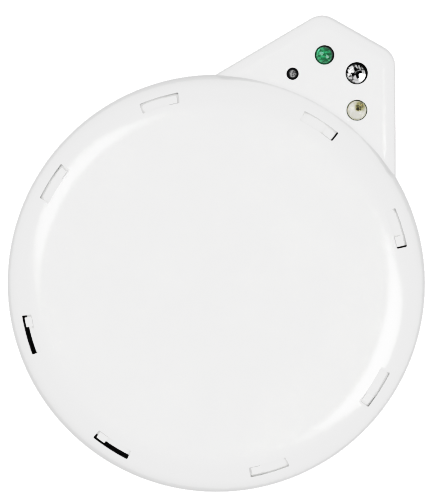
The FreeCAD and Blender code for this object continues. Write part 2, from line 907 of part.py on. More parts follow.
save("mounting_plate", mounting_plate())
save("front_housing", front_housing())
save("inner_cover", inner_cover())
save("lobe_cover", lobe_cover())
save("main_board", main_board())
save("head_board", head_board())
save("config_button", config_button())
save("button_switch", button_switch())
save("button_dome", button_dome())
save("status_led", status_led())
save("status_led_leads", leads(led_place))
save("light_cell_lens", light_cell_lens())
save("light_cell_die", light_cell_die())
save("light_cell_frame", light_cell_frame())
save("light_cell_leads", leads(cell_place))
save("lobe_screw", lobe_screw())
save("cover_screws", cover_screws())
save("link_ribbon", link_ribbon())
save("head_ribbon_socket", head_ribbon_socket())
save("main_ribbon_socket", main_ribbon_socket())
save("terminal_block", terminal_block())
save("terminal_screws", terminal_screws())
save("microcontroller", on_board(controller_side, controller_side, controller_height, controller_place))
save("amplifier_chip", on_board(amplifier_length, amplifier_width, amplifier_height, amplifier_place))
save("voltage_regulator", on_board(regulator_length, regulator_width, regulator_height, regulator_place))
save("power_inductor", on_board(inductor_side, inductor_side, inductor_height, inductor_place))
save("clock_crystal", on_board(crystal_length, crystal_width, crystal_height, crystal_place))
save("storage_capacitors", storage_capacitors())
save("chip_resistors", chip_resistors())
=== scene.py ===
import json
import math

import bmesh
import bpy
import numpy as np
from bpy.props import FloatProperty, FloatVectorProperty, PointerProperty
from mathutils import Matrix, Vector


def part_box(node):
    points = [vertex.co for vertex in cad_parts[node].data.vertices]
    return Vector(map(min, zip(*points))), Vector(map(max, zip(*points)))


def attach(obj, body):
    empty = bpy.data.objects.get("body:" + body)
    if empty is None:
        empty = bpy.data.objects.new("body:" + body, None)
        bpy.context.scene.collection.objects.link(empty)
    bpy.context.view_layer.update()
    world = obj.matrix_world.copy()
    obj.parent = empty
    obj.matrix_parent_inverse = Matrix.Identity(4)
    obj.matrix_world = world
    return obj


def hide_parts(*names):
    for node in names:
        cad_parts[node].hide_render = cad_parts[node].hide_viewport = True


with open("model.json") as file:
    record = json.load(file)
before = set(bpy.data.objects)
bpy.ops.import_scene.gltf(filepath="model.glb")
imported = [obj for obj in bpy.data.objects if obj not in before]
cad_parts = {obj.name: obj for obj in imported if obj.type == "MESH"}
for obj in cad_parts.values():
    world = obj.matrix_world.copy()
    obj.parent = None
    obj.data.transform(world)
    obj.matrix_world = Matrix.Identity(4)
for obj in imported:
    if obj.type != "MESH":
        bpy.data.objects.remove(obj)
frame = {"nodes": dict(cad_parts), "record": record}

bl_info = {
    "name": "Ceiling light sensor",
    "version": (1, 0, 0),
    "blender": (4, 5, 0),
    "location": "3D View > Sidebar > Sensor",
    "description": "Dresses the packed solids of a round ceiling light sensor with a side lobe",
    "category": "Add Mesh",
}

MM = 0.001

# How far the photograph is turned against the part, and the slope of the lobe's sides
PHOTO_TURN = math.radians(29.6)
FLANK_SLOPE = math.radians(60.0)

# Where lobe and disc meet: how far in from the outline their blend grows, and its least softness
BLEND_FADE = 10 * MM
LEAST_BLEND = 1e-7

# How fine the shell's grid is: rays by stretch of the outline, and rings from the middle outwards
HALVINGS = 44
TURN_STEPS = (8, 12, 40, 150)
FACE_RINGS = (0.25, 0.5, 0.75, 0.9, 0.97, 1.0)
ROLL_RINGS = 30
FIXED_RINGS_END = 54.8 * MM
PROFILE_SAMPLES = 700
EDGE_RINGS = 84

# The shell's side: heights of its rings, the rounding at its foot, and a level under the whole shell
SIDE_HEIGHTS = (10 * MM, 5 * MM)
FOOT_ROUNDING = 0.4 * MM
BELOW_CEILING = -1 * MM

# A flared mouth: leans of its quarter round in degrees, and where it ends as shares of its radius
FLARE_LEANS = (0, 25, 50, 72)
FLARE_SPREAD = 1.6
FLARE_LIFT = 0.6

# The four pairs of windows: the first pair's middle, and each pair's half angle and lag, in degrees
FIRST_PAIR = 66.7
PAIR_STEP = 90.0
PAIR_HALF_ANGLES = (19.7, 20.5, 21.2, 20.5)
PAIR_LAGS = (0.0, 0.0, 0.9, 0.0)
OPEN_PAIR = 2
WINDOW_SPAN = 11.9
WINDOW_CORNER = 0.3 * MM
WINDOW_FLOOR = 17.9 * MM

# Where each window starts round the disc
window_starts = [
    math.radians(FIRST_PAIR + PAIR_STEP * pair - lag + side * half_angle - WINDOW_SPAN / 2)
    for pair, (half_angle, lag) in enumerate(zip(PAIR_HALF_ANGLES, PAIR_LAGS))
    for side in (-1, 1)
]

# Holes through the lobe's face
HOLE_FLOOR = 10 * MM
LAMP_HOLE = 2.65 * MM
CELL_HOLE = 2.85 * MM
BUTTON_HOLE = 1.7 * MM
SCREW_HOLE = 3.05 * MM

# What stands inside the shell
BOSS_CIRCLE = 34 * MM
BOSS_RADIUS = 3.5 * MM
BOSS_ANGLES = (90.0, 210.0, 330.0)
PIN_ASIDE = 14.49 * MM
PIN_ALONG = 65 * MM
PIN_RADIUS = 1.8 * MM
SLEEVE_RADIUS = 4.45 * MM
GUIDE_RADIUS = 2.7 * MM
GUIDE_GAP = 0.3 * MM
TAB_INNER = 53 * MM
TAB_LOW = 15.43 * MM
TAB_THICKNESS = 2.2 * MM
TAB_LEAD = math.radians(1.15)
TAB_REACH = math.radians(4.0)

# Painted shade: a fine grey line in the valley between disc and lobe, and a darker tone on the shell's
# steep sides
VALLEY_SHADE_RADIUS = 56.2 * MM
VALLEY_SHADE_HALF_WIDTH = 0.8 * MM
VALLEY_SHADE_START = 48.8 * MM
VALLEY_SHADE_MIDDLE = 12 * MM
VALLEY_SHADE_END = 26 * MM
VALLEY_SHADE_MIDDLE_STRENGTH = 0.42
VALLEY_SHADE = (0.42, 0.42, 0.42)
SKIRT_SHADE = (0.77, 0.77, 0.77)

# Plastic that lets light in a little way
MILKY = {"Subsurface_Weight": 0.3, "Subsurface_Scale": 0.3 * MM, "Subsurface_Radius": (1, 1, 1)}

# The lamp's body, and where its cup and its wire's end stand, beside its middle and over its foot
LAMP_RADIUS = 2.5 * MM
LAMP_FLANGE = 1.0 * MM
LAMP_CUP_ASIDE = 0.25 * MM
LAMP_CUP_RISE = 3.6 * MM
LAMP_BOND_ASIDE = 1.27 * MM
LAMP_BOND_RISE = 4.5 * MM
# Painted light on the lamp: lighter patches that stand in for glints inside the epoxy, and a near-black
# crescent of painted shadow at its rim
LAMP_PAINTED_GLINTS = (0.1, 0.52, 0.3)
LAMP_RIM_SHADOW = (0.002, 0.012, 0.005)

# The lamp's two leads, beside its middle and over the ceiling, and the section of its cup
LEAD_HALF_THICKNESS = 0.25 * MM
LAMP_ANVIL = MM * np.array(
    [[-1.62, 12.4], [-1.12, 12.4], [-1.12, 14.0], [0.65, 15.3], [0.65, 16.0], [-1.62, 16.0]]
)
LAMP_POST = MM * np.array([[1.02, 12.4], [1.52, 12.4], [1.52, 16.9], [1.15, 17.1], [1.02, 16.6]])
LAMP_CUP = MM * np.array(
    [[0, 0], [0.9, 0], [1.02, 0.3], [1.05, 1.0], [0.92, 1.05], [0.55, 0.35], [0.0, 0.3]]
)

# The light cell's ivory cup in section, its chip, and the tones inside: painted shade on the cup and
# along its rim, and the chip's dark middle
CELL_CUP_FOOT = MM * np.array([[0, 0], [2.45, 0], [2.6, 0.15]])
CELL_CUP_DISH = MM * np.array(
    [[2.6, -0.1], [2.5, 0.0], [2.4, 0.5], [2.2, 0.7], [1.95, 0.6], [1.1, 0.02], [0, 0.0]]
)
CELL_CHIP_TURN = math.radians(17.0)
CELL_SHADE = (0.36, 0.35, 0.22)
CELL_RIM_SHADE = (0.3, 0.28, 0.25)
CELL_CHIP_MIDDLE = (0.03, 0.028, 0.012)

# The button's narrower top, and its dish in section
BUTTON_TOP_RADIUS = 1.1 * MM
BUTTON_TOP_RISE = 1.0 * MM
BUTTON_DISH = MM * np.array([[0.85, -0.02], [0.6, -0.09], [0.3, -0.13], [0, -0.14]])

# The lobe's screw: its head with its rounded rim and domed crown, and its thread
SCREW_HEAD_HEIGHT = 2.2 * MM
SCREW_ROUNDING = 0.7 * MM
SCREW_CROWN = 5.5 * MM
THREAD_PITCH = 0.8 * MM
THREAD_ROOT = 1.12 * MM
THREAD_DEPTH = 0.3 * MM
THREAD_POINT = 1.5 * MM
# Painted light on the screw: shade in the cross recess, mottled reflections over the head and a shadow
# crescent at its rim
RECESS_SHADE = (0.012, 0.012, 0.012)
PLATING_REFLECTIONS = (0.42, 0.42, 0.42)
PLATING_RIM_SHADOW = (0.015, 0.015, 0.015)

# The cross recess at five levels: height over the head, reach of an arm and half its width
CROSS_LEVELS = MM * np.array(
    [[0.5, 1.72, 0.46], [0.0, 1.62, 0.43], [-0.455, 1.36, 0.38], [-0.975, 0.98, 0.33], [-1.3, 0.62, 0.28]]
)
CROSS_CHAMFER = 0.12 * MM
CROSS_TIP = 0.62
CROSS_TURN = math.radians(47.0)

# The tone that each amount of scene light is shown as, and the sky's greys from below to above
PRINT_LIGHTS = (0.03, 0.1, 0.25, 0.4, 0.5, 0.56, 0.63, 0.77, 0.79, 0.823, 0.87)
PRINT_TONES = (0.012, 0.1, 0.485, 0.675, 0.738, 0.812, 0.84, 0.863, 0.9, 0.965, 0.99)
SKY_ENDS = (1.0, 0.78)
SKY_BETWEEN = ((0.35, 1.0), (0.7, 0.8))
SKY_STRENGTH = 0.555

# Each light's lean from the upright and its angle in the photograph in degrees, size in metres and watts
SOFTBOX_DISTANCE = 0.9
SOFTBOXES = (
    ("softbox_right", 41.0, -26.0, 0.55, 0.7, 2.8),
    ("softbox_left", 43.0, 151.0, 0.6, 0.72, 2.5),
)

# The floor, and the view of the camera
FLOOR_REACH = 4.0
FLOOR_LEVEL = -0.3 * MM
FLOOR_GLOW = 1.1
LENS = 180.0
SENSOR_WIDTH = 36.0
VIEW_WIDTH = 136.5 * MM
VIEW_LEAN = math.radians(3.0)
VIEW_TARGET = Vector((-3.32 * MM, 8.73 * MM, 15.5 * MM))

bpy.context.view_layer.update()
housing_low, housing_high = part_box("front_housing")
lamp_low, lamp_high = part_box("status_led")
cell_low, cell_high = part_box("light_cell_lens")
cup_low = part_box("light_cell_frame")[0]
button_low, button_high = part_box("config_button")
screw_low, screw_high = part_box("lobe_screw")


def length(name, description, value):
    """A setting in metres."""
    return FloatProperty(
        name=name, description=description, default=value, unit="LENGTH", subtype="DISTANCE"
    )


def colour(name, description, *tone):
    """A setting that is a colour."""
    return FloatVectorProperty(
        name=name, description=description, default=tone, size=3, min=0, max=1, subtype="COLOR"
    )


class SensorSizes(bpy.types.PropertyGroup):
    """Sizes of the pieces that are made here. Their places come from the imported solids."""

    disc_radius: length("Disc radius", "Radius of the round shell", housing_high.x)
    face_height: length("Face height", "Height of the flat face over the ceiling", housing_high.z)
    shell_foot: length("Shell foot", "Gap between the shell and the ceiling", housing_low.z)
    shell_wall: length("Shell wall", "Thickness of the shell", 1.6 * MM)
    edge_wall: length("Edge wall", "Thickness of the shell along its rolled edge", 1.0 * MM)
    roll_radius: length("Rolled edge", "Radius of the disc's rolled edge", 11.5 * MM)
    lobe_reach: length("Lobe reach", "Distance to the lobe's tip", housing_high.y)
    lobe_flank: length("Lobe flank", "Distance to the lobe's slanting sides", 49.2 * MM)
    lobe_height: length("Lobe height", "Height of the lobe's face", 19.5 * MM)
    lobe_corner: length("Lobe corners", "Radius of the two corners at the lobe's tip", 6.0 * MM)
    lobe_edge: length("Lobe edge", "Radius of the lobe's rounded top edge", 4.0 * MM)
    valley_blend: length("Valley blend", "How softly the lobe's face runs into the rolled edge", 0.8 * MM)
    window_inner: length("Window inner radius", "Distance to the windows' near side", 50.0 * MM)
    window_outer: length("Window outer radius", "Distance to the windows' far side", 52.9 * MM)
    window_span: FloatProperty(
        name="Window span",
        description="How far each window runs round the disc",
        default=math.radians(WINDOW_SPAN),
        unit="ROTATION",
        subtype="ANGLE",
    )
    mouth_round: length("Window lip", "Radius of the edge round each window", 0.15 * MM)
    hole_round: length("Hole lip", "Radius of the edge round each hole", 0.12 * MM)


class SensorFinishes(bpy.types.PropertyGroup):
    """Colours and gloss of the finishes."""

    housing: colour("Housing", "White moulded plastic", 0.88, 0.879, 0.8775)
    plate: colour("Mounting plate", "White moulded plastic behind the windows", 0.88, 0.88, 0.87)
    housing_roughness: FloatProperty(
        name="Housing roughness",
        description="Roughness of the satin plastic",
        default=0.26,
        min=0,
        max=1,
        subtype="FACTOR",
    )
    lamp: colour("Lamp", "Tinted epoxy of the status lamp", 0.03, 0.22, 0.11)
    cell_cup: colour("Cell cup", "Ivory moulding round the light cell", 0.93, 0.92, 0.78)
    button: colour("Button", "Black moulded plastic", 0.006, 0.006, 0.007)
    # Painted sheen: the button's top is a lighter grey for the light it catches
    button_top_sheen: colour("Button top", "Top of the button, painted a lighter grey for its sheen", 0.13, 0.13, 0.13)
    screw: colour("Screw", "Bright plating", 0.86, 0.86, 0.87)
    floor: colour("Floor", "Pale studio floor", 0.3, 0.3, 0.3)


# Surfaces


def quads(rows, columns):
    """Faces between neighbouring points of a grid that is closed round its columns."""
    row = np.arange(rows - 1)[:, None] * columns
    column = np.arange(columns)[None, :]
    following = (column + 1) % columns
    corners = (row + column, row + following, row + columns + following, row + columns + column)
    return np.stack(corners, axis=-1).reshape(-1, 4)


def skin(rings, first_pole=None, last_pole=None):
    """A closed surface through rings of points (rows x columns x 3). Each end is a fan to its pole, or
    to the ring's own middle."""
    rings = np.asarray(rings, float)
    rows, columns = rings.shape[:2]
    first = rings[0].mean(axis=0) if first_pole is None else np.asarray(first_pole, float)
    last = rings[-1].mean(axis=0) if last_pole is None else np.asarray(last_pole, float)
    points = np.vstack([rings.reshape(-1, 3), first, last])
    here = np.arange(columns)
    following = (here + 1) % columns
    end = (rows - 1) * columns
    first_fan = np.stack([following, here, np.full(columns, rows * columns)], axis=-1)
    last_fan = np.stack([end + here, end + following, np.full(columns, rows * columns + 1)], axis=-1)
    faces = quads(rows, columns).tolist() + first_fan.tolist() + last_fan.tolist()
    return points, faces


def around(radius, turn, height, centre=(0.0, 0.0)):
    """Points at a radius, an angle and a height about the upright through centre."""
    x, y = centre[0] + radius * np.cos(turn), centre[1] + radius * np.sin(turn)
    return np.stack([x, y, np.broadcast_to(height, x.shape)], axis=-1)


def lathe(profile, centre=(0.0, 0.0), columns=96):
    """Each point (radius, height) of the profile goes round a circle about the upright through centre.
    The profile starts and ends on that upright."""
    profile = np.asarray(profile, float)
    turn = np.linspace(0.0, 2 * math.pi, columns, endpoint=False)
    radius, height = profile[1:-1, 0][:, None], profile[1:-1, 1][:, None]
    rings = around(radius, turn, height, centre)
    return skin(rings, (*centre, profile[0, 1]), (*centre, profile[-1, 1]))


def arc(centre_radius, centre_height, radius, first, last, steps):
    """Points of a circle's arc in a profile, from angle first to angle last in degrees, 0 pointing
    outwards and 90 upwards."""
    turn = np.radians(np.linspace(first, last, steps))
    outwards = centre_radius + radius * np.cos(turn)
    upwards = centre_height + radius * np.sin(turn)
    return np.stack([outwards, upwards], axis=-1)


def prism(outline, low, high):
    """An outline (n x 2) raised from low to high, as two rings with fans over their middles."""
    rings = np.empty((2, len(outline), 3))
    rings[:, :, :2] = outline
    rings[:, :, 2] = [[low], [high]]
    return skin(rings)


def together(*shapes):
    """Several closed surfaces as one."""
    points, faces, start = [], [], 0
    for shape_points, shape_faces in shapes:
        points.append(shape_points)
        faces.extend([[index + start for index in face] for face in shape_faces])
        start += len(shape_points)
    return np.vstack(points), faces


def mesh_object(name, shape):
    """An object at the origin with this surface, its faces turned outwards."""
    points, faces = shape
    mesh = bpy.data.meshes.new(name)
    mesh.from_pydata(points.tolist(), [], faces)
    work = bmesh.new()
    work.from_mesh(mesh)
    bmesh.ops.recalc_face_normals(work, faces=work.faces)
    work.to_mesh(mesh)
    work.free()
    mesh.update()
    made = bpy.data.objects.new(name, mesh)
    bpy.context.scene.collection.objects.link(made)
    return made


def combine(base, other, operation):
    """The base object's mesh after a boolean operation with a shape."""
    tool = mesh_object(base.name + "_tool", other)
    change = base.modifiers.new("change", "BOOLEAN")
    change.operation = operation
    change.solver = "MANIFOLD"
    change.object = tool
    bpy.context.view_layer.update()
    changed = base.evaluated_get(bpy.context.evaluated_depsgraph_get())
    result = bpy.data.meshes.new_from_object(changed)
    base.modifiers.clear()
    old = base.data
    base.data = result
    result.name = base.name
    bpy.data.meshes.remove(old)
    tool_mesh = tool.data
    bpy.data.objects.remove(tool)
    bpy.data.meshes.remove(tool_mesh)
    if not result.polygons:
        raise RuntimeError(f"{operation} left nothing of {base.name}")


def dress(made, material, body, replaced=(), crease=35.0):
    """Smooth shading with sharp creases, the material, the body that carries the piece and the nodes it
    stands for."""
    mesh = made.data
    mesh.materials.clear()
    mesh.materials.append(material)
    mesh.polygons.foreach_set("use_smooth", np.ones(len(mesh.polygons), bool))
    mesh.set_sharp_from_angle(angle=math.radians(crease))
    mesh.update()
    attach(made, body)
    if replaced:
        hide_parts(*replaced)


# Finishes


def node(tree, kind, values, **settings):
    """A shader node. Each input in values gets a value or is linked to another node's output."""
    made = tree.nodes.new("ShaderNode" + kind)
    for name, setting in settings.items():
        setattr(made, name, setting)
    for name, value in values.items():
        if isinstance(value, bpy.types.NodeSocket):
            tree.links.new(value, made.inputs[name])
        else:
            made.inputs[name].default_value = value
    return made


def object_place(tree):
    """Where a point lies on the piece, which stays with it at every pose."""
    return node(tree, "TexCoord", {}).outputs["Object"]


def parts(tree, vector):
    """A vector's parts along X, Y and Z."""
    return node(tree, "SeparateXYZ", {"Vector": vector}).outputs


def noise(tree, size, detail=2.0, roughness=0.55):
    """A pattern from 0 to 1, with clouds of a size in millimetres."""
    scale, where = 1.0 / (size * MM), object_place(tree)
    values = {"Vector": where, "Scale": scale, "Detail": detail, "Roughness": roughness}
    return node(tree, "TexNoise", values).outputs["Fac"]


def span(tree, value, low, high):
    """The value's stretch from 0 to 1 laid from low to high."""
    return node(tree, "MapRange", {"Value": value, "To Min": low, "To Max": high}).outputs["Result"]


def smooth_step(tree, value, low, high):
    """Eases from 0 to 1 as the value goes from low to high, which may be the smaller one."""
    values = {"Value": value, "From Min": low, "From Max": high}
    return node(tree, "MapRange", values, interpolation_type="SMOOTHSTEP").outputs["Result"]


def product(tree, *factors):
    """The factors multiplied."""
    result = factors[0]
    for factor in factors[1:]:
        result = node(tree, "Math", {0: result, 1: factor}, operation="MULTIPLY").outputs["Value"]
    return result


def mix(tree, factor, first, second):
    """Goes from the first colour to the second as the factor goes from 0 to 1."""
    values = {"Factor": factor, "A": first, "B": second}
    return node(tree, "Mix", values, data_type="RGBA").outputs["Result"]


def shades(tone, drift):
    """The tone made darker and lighter by a share."""
    return (*[c * (1 - drift) for c in tone], 1.0), (*[min(1.0, c * (1 + drift)) for c in tone], 1.0)


def finish(name, tone, roughness, drift, patch, grain, relief, **sockets):
    """A procedural finish: the colour drifts over patches, and a fine grain breaks up the gloss and lifts
    the surface. Patch, grain and relief are in millimetres."""
    material = bpy.data.materials.new(name)
    material.use_nodes = True
    tree = material.node_tree
    fine = noise(tree, grain, 4.0, 0.6)
    least, most = max(0.02, roughness * 0.85), min(1.0, roughness * 1.15)
    inputs = tree.nodes["Principled BSDF"].inputs
    painted = mix(tree, noise(tree, patch, 3.0), *shades(tone, drift))
    tree.links.new(painted, inputs["Base Color"])
    tree.links.new(span(tree, fine, least, most), inputs["Roughness"])
    bump = node(tree, "Bump", {"Strength": 1.0, "Distance": relief * MM, "Height": fine})
    tree.links.new(bump.outputs["Normal"], inputs["Normal"])
    for socket, value in sockets.items():
        inputs[socket.replace("_", " ")].default_value = value
    return material


def repaint(material, factor, tone, mottle=0.0, patch=1.0):
    """Paints another tone over the finish where the factor is 1, mottled between darker and lighter
    patches of a size in millimetres."""
    tree = material.node_tree
    colour_socket = tree.nodes["Principled BSDF"].inputs["Base Color"]
    patches = smooth_step(tree, noise(tree, patch), 0.35, 0.65)
    before = colour_socket.links[0].from_socket
    tree.links.new(mix(tree, factor, before, mix(tree, patches, *shades(tone, mottle))), colour_socket)


def distance_from(tree, centre=(0.0, 0.0)):
    """The distance from the upright through centre."""
    moved = {"Vector": object_place(tree), "Location": (-centre[0], -centre[1], 0), "Scale": (1, 1, 0)}
    flat = node(tree, "Mapping", moved).outputs["Vector"]
    return node(tree, "VectorMath", {0: flat}, operation="LENGTH").outputs["Value"]


def paint_beyond(material, centre, reach, soft, tone, mottle=0.0, patch=1.0):
    """Another tone further than reach from the upright through centre, or nearer where soft is negative.
    Reach, soft and patch are in millimetres."""
    tree = material.node_tree
    near, far = (reach - soft) * MM, (reach + soft) * MM
    repaint(material, smooth_step(tree, distance_from(tree, centre), near, far), tone, mottle, patch)


def paint_below(material, level, soft, tone):
    """Another tone below a height."""
    tree = material.node_tree
    height = parts(tree, object_place(tree))["Z"]
    repaint(material, smooth_step(tree, height, level + soft, level - soft), tone)


def paint_patches(material, patch, tone):
    """Another tone in patches of a size in millimetres."""
    tree = material.node_tree
    repaint(material, smooth_step(tree, noise(tree, patch), 0.48, 0.62), tone)


def paint_valley_shade(material):
    """Painted shade: a fine soft grey line round the disc's axis, only beside the lobe, and fainter in
    its middle.
    """
    tree = material.node_tree
    place, across = parts(tree, object_place(tree)), distance_from(tree)
    aside = node(tree, "Math", {0: place["X"]}, operation="ABSOLUTE").outputs["Value"]
    factor = product(
        tree,
        smooth_step(tree, across, VALLEY_SHADE_RADIUS - VALLEY_SHADE_HALF_WIDTH, VALLEY_SHADE_RADIUS),
        smooth_step(tree, across, VALLEY_SHADE_RADIUS + VALLEY_SHADE_HALF_WIDTH, VALLEY_SHADE_RADIUS),
        span(tree, smooth_step(tree, aside, VALLEY_SHADE_MIDDLE, VALLEY_SHADE_END), VALLEY_SHADE_MIDDLE_STRENGTH, 1.0),
        smooth_step(tree, place["Y"], VALLEY_SHADE_START, VALLEY_SHADE_START + 1 * MM),
    )
    repaint(material, factor, VALLEY_SHADE)


def paint_skirt_shade(material, radius):
    """Painted shade: a slightly darker tone past a radius where the surface is steep; it grows as the
    normal's upright share falls."""
    tree = material.node_tree
    normal = node(tree, "NewGeometry", {}).outputs["Normal"]
    steep = smooth_step(tree, parts(tree, normal)["Z"], 0.55, 0.2)
    outside = smooth_step(tree, distance_from(tree), radius, radius + 1 * MM)
    repaint(material, product(tree, steep, outside), SKIRT_SHADE)


def from_photo(place, right, up):
    """The place moved by millimetres along the photograph's right and up."""
    cosine, sine = math.cos(PHOTO_TURN) * MM, math.sin(PHOTO_TURN) * MM
    return place[0] + right * cosine - up * sine, place[1] + right * sine + up * cosine


# The shell


def roll_axis(sizes):
    """Radius and height of the circle that the rolled edge is bent round."""
    return sizes.disc_radius - sizes.roll_radius, sizes.face_height - sizes.roll_radius


def corner_centre(sizes):
    """Where the lobe's rounded corner has its centre, beside the lobe's axis and along it: one corner
    radius inside the flank and the tip edge."""
    along = sizes.lobe_reach - sizes.lobe_corner
    across = sizes.lobe_flank - sizes.lobe_corner - along * math.cos(FLANK_SLOPE)
    return across / math.sin(FLANK_SLOPE), along


def inside_distance(sizes, x, y):
    """How far a point lies inside the lobe's outline: the least of its distances to the tip edge and the
    flank, or, beyond a corner's centre, the corner radius less the distance to that centre."""
    sine, cosine = math.sin(FLANK_SLOPE), math.cos(FLANK_SLOPE)
    centre_x, centre_y = corner_centre(sizes)
    side = np.abs(x)
    nearest = np.minimum(sizes.lobe_reach - y, sizes.lobe_flank - (side * sine + y * cosine))
    beyond_flank = (side - centre_x) / sine
    beyond_tip = (y - centre_y) - beyond_flank * cosine
    rounded = sizes.lobe_corner - np.hypot(side - centre_x, y - centre_y)
    return np.where((beyond_flank > 0) & (beyond_tip > 0), rounded, nearest)


def shell_height(sizes, x, y):
    """Height of the shell's outer face: the disc's flat face with its rolled edge, and the lobe's flat
    face with its rounded edge, joined by a smooth maximum that fades out at the lobe's outline."""
    radius = np.hypot(x, y)
    roll_centre, roll_foot = roll_axis(sizes)
    past = np.clip(radius - roll_centre, 0.0, sizes.roll_radius)
    disc = roll_foot + np.sqrt(sizes.roll_radius**2 - past**2)
    inside = inside_distance(sizes, x, y)
    drop = sizes.lobe_edge - np.clip(inside, 0.0, sizes.lobe_edge)
    lobe = sizes.lobe_height - sizes.lobe_edge + np.sqrt(sizes.lobe_edge**2 - drop**2)
    on_lobe = (inside > 0) & (y > 0)
    fade = np.clip(inside / BLEND_FADE, 0.0, 1.0)
    softness = sizes.valley_blend * fade * fade * (3 - 2 * fade) + LEAST_BLEND
    overlap = np.clip(softness - np.abs(disc - lobe), 0.0, None) / softness
    joined = np.maximum(disc, lobe) + overlap**2 * softness / 4
    return np.where(on_lobe, joined, disc)


def reach_inside(sizes, turn, depth, near, far):
    """Radius at each angle from the lobe's axis up to which a ray stays deeper than depth inside the
    lobe's outline, found by halving the stretch from near to far."""
    near, far = np.full_like(turn, near), np.full_like(turn, far)
    towards_lobe = np.cos(turn) > 0
    for _ in range(HALVINGS):
        middle = (near + far) / 2
        inside = inside_distance(sizes, middle * np.sin(turn), middle * np.cos(turn)) > depth
        near = np.where(inside & towards_lobe, middle, near)
        far = np.where(inside & towards_lobe, far, middle)
    return near


def shell_turns(sizes):
    """Angles from the lobe's axis, closer together round the lobe's corners and exact at its kinks."""
    centre_x, centre_y = corner_centre(sizes)
    flank_x = centre_x + sizes.lobe_corner * math.sin(FLANK_SLOPE)
    flank_y = centre_y + sizes.lobe_corner * math.cos(FLANK_SLOPE)
    join = FLANK_SLOPE - math.acos(sizes.lobe_flank / sizes.disc_radius)
    kinks = (0.0, math.atan2(centre_x, sizes.lobe_reach), math.atan2(flank_x, flank_y), join, math.pi)
    half = np.concatenate(
        [
            np.linspace(first, last, steps, endpoint=False)
            for first, last, steps in zip(kinks, kinks[1:], TURN_STEPS)
        ]
    )
    return np.concatenate([half, [math.pi], 2 * math.pi - half[:0:-1]])


def shell_outside(sizes):
    """The shell's outer skin on a polar grid. Rings run out over the face and the rolled edge at fixed
    radii, and from there to the outline at equal steps along each ray's own profile. The side goes
    straight down to the foot, with a small rounding."""
    turn = shell_turns(sizes)
    outline = reach_inside(sizes, turn, 0.0, sizes.disc_radius, 1.2 * sizes.lobe_reach)
    roll_centre, roll_foot = roll_axis(sizes)
    last_lean = math.asin((FIXED_RINGS_END - roll_centre) / sizes.roll_radius)
    leans = np.linspace(0.0, last_lean, ROLL_RINGS)[1:]
    flat = np.array(FACE_RINGS) * roll_centre
    fixed = np.concatenate([flat, roll_centre + sizes.roll_radius * np.sin(leans)])
    shares = np.cos(np.linspace(math.pi / 2, 0.0, PROFILE_SAMPLES))
    fine = FIXED_RINGS_END + (outline - FIXED_RINGS_END) * shares[:, None]
    height = shell_height(sizes, fine * np.sin(turn), fine * np.cos(turn))
    step = np.hypot(np.diff(fine, axis=0), np.diff(height, axis=0))
    travelled = np.vstack([np.zeros(len(turn)), np.cumsum(step, axis=0)])
    wanted = np.linspace(0.0, 1.0, EDGE_RINGS)[1:]
    outer = np.stack([np.interp(wanted * t[-1], t, f) for t, f in zip(travelled.T, fine.T)], axis=-1)
    radius = np.vstack([np.repeat(fixed[:, None], len(turn), axis=1), outer])
    height = shell_height(sizes, radius * np.sin(turn), radius * np.cos(turn))
    height[-1] = roll_foot
    lean = np.linspace(0.0, math.pi / 2, 5)
    inwards = np.concatenate([np.zeros(len(SIDE_HEIGHTS)), FOOT_ROUNDING * (1 - np.cos(lean))])
    levels = np.concatenate([SIDE_HEIGHTS, sizes.shell_foot + FOOT_ROUNDING * (1 - np.sin(lean))])
    radius = np.vstack([radius, outline - inwards[:, None]])
    height = np.vstack([height, np.repeat(levels[:, None], len(turn), axis=1)])
    rings = np.stack([-radius * np.sin(turn), radius * np.cos(turn), height], axis=-1)
    return skin(rings, (0, 0, sizes.face_height), (0, 0, sizes.shell_foot))


def shell_hollow(sizes):
    """The space inside: the disc's, turned with the rolled edge less the wall, and the lobe's, a prism
    inside its outline that starts beyond the skirt."""
    wall = sizes.shell_wall
    roll_centre, roll_foot = roll_axis(sizes)
    bend = sizes.roll_radius - sizes.edge_wall
    lean = math.degrees(math.acos((sizes.roll_radius - wall) / bend))
    inner = arc(roll_centre, roll_foot, bend, lean, 90 - lean, 24)
    foot = [[0, BELOW_CEILING], [sizes.disc_radius - wall, BELOW_CEILING]]
    disc = lathe(np.vstack([foot, inner, [0, sizes.face_height - wall]]), columns=180)
    half = FLANK_SLOPE - math.acos((sizes.lobe_flank - wall) / (sizes.disc_radius + 0.01 * MM))
    turn = np.linspace(-half, half, 121)
    skirt = np.linspace(half, -half, 41)[1:-1]
    angles = np.concatenate([turn, skirt])
    reach = reach_inside(sizes, turn, wall, wall / 2, sizes.lobe_reach)
    radii = np.concatenate([reach, np.full_like(skirt, sizes.disc_radius)])
    outline = np.stack([-radii * np.sin(angles), radii * np.cos(angles)], axis=-1)
    return together(disc, prism(outline, BELOW_CEILING, sizes.lobe_height - wall))


def slot_loop(half_length, half_width, corner):
    """Points round a rectangle with rounded corners, close together on its long sides."""
    lean = np.radians(np.linspace(0, 90, 5))
    quarter = np.stack([np.cos(lean), np.sin(lean)], axis=-1) * corner
    next_quarter = np.stack([-quarter[:, 1], quarter[:, 0]], axis=-1)
    x, y = half_length - corner, half_width - corner
    top = np.stack([np.linspace(x, -x, 14)[1:-1], np.full(12, half_width)], axis=-1)
    left = np.stack([np.full(3, -half_length), np.linspace(y, -y, 5)[1:-1]], axis=-1)
    half = np.vstack([np.array([x, y]) + quarter, top, np.array([-x, y]) + next_quarter, left])
    return np.vstack([half, -half])


def flare(lip):
    """How far the mouth of a window or hole spreads, and how far it lies over the face, ring by ring: a
    quarter round of radius lip, that goes on a little way past the face."""
    lean = np.radians(FLARE_LEANS)
    spreads = np.append(lip * (1 - np.cos(lean)), lip * FLARE_SPREAD)
    lifts = np.append(lip * (np.sin(lean) - 1), lip * FLARE_LIFT)
    return spreads, lifts


